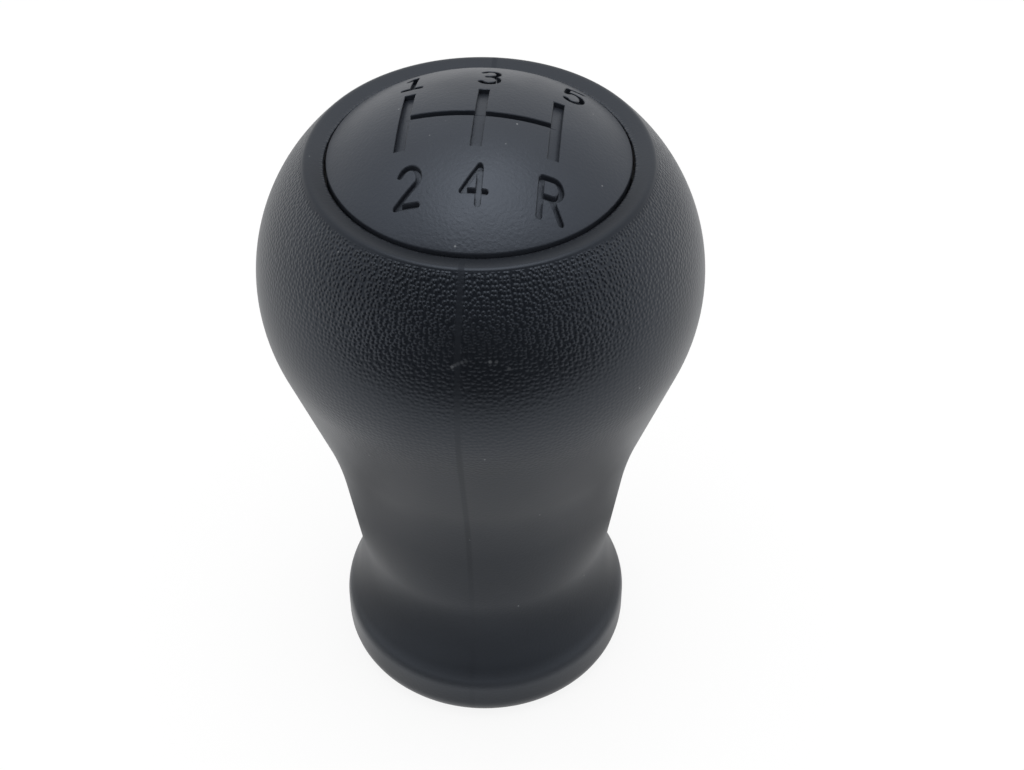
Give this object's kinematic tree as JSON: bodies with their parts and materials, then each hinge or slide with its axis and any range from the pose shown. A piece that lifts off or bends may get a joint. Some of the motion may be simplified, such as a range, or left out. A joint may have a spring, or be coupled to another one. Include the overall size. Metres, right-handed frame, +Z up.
{
  "type": "gear shift knob",
  "caption": "Black soft-grip gear knob: grained round head, narrow neck, flared foot and a domed snap-in cap with the sunk shift pattern.",
  "frame": {"origin": "middle of the foot's rim, on the knob's axis", "axes": "+Z up along the knob's axis, -Y towards the driver, the side of the 2-4-R row and of the mould line, +X to the driver's right"},
  "size_m": [0.0504, 0.0504, 0.082],
  "materials": {
    "soft_grip": "satin leather-grain skin, smooth at the foot and at the ring round the cap",
    "core_plastic": "plain moulded black plastic",
    "cap_plastic": "satin fine-grained black plastic",
    "bush_plastic": "natural moulded plastic"
  },
  "bodies": {
    "root": {"grip_body": "soft_grip", "core": "core_plastic", "shift_cap": "cap_plastic", "lever_bush": "bush_plastic"}
  },
  "joints": []
}
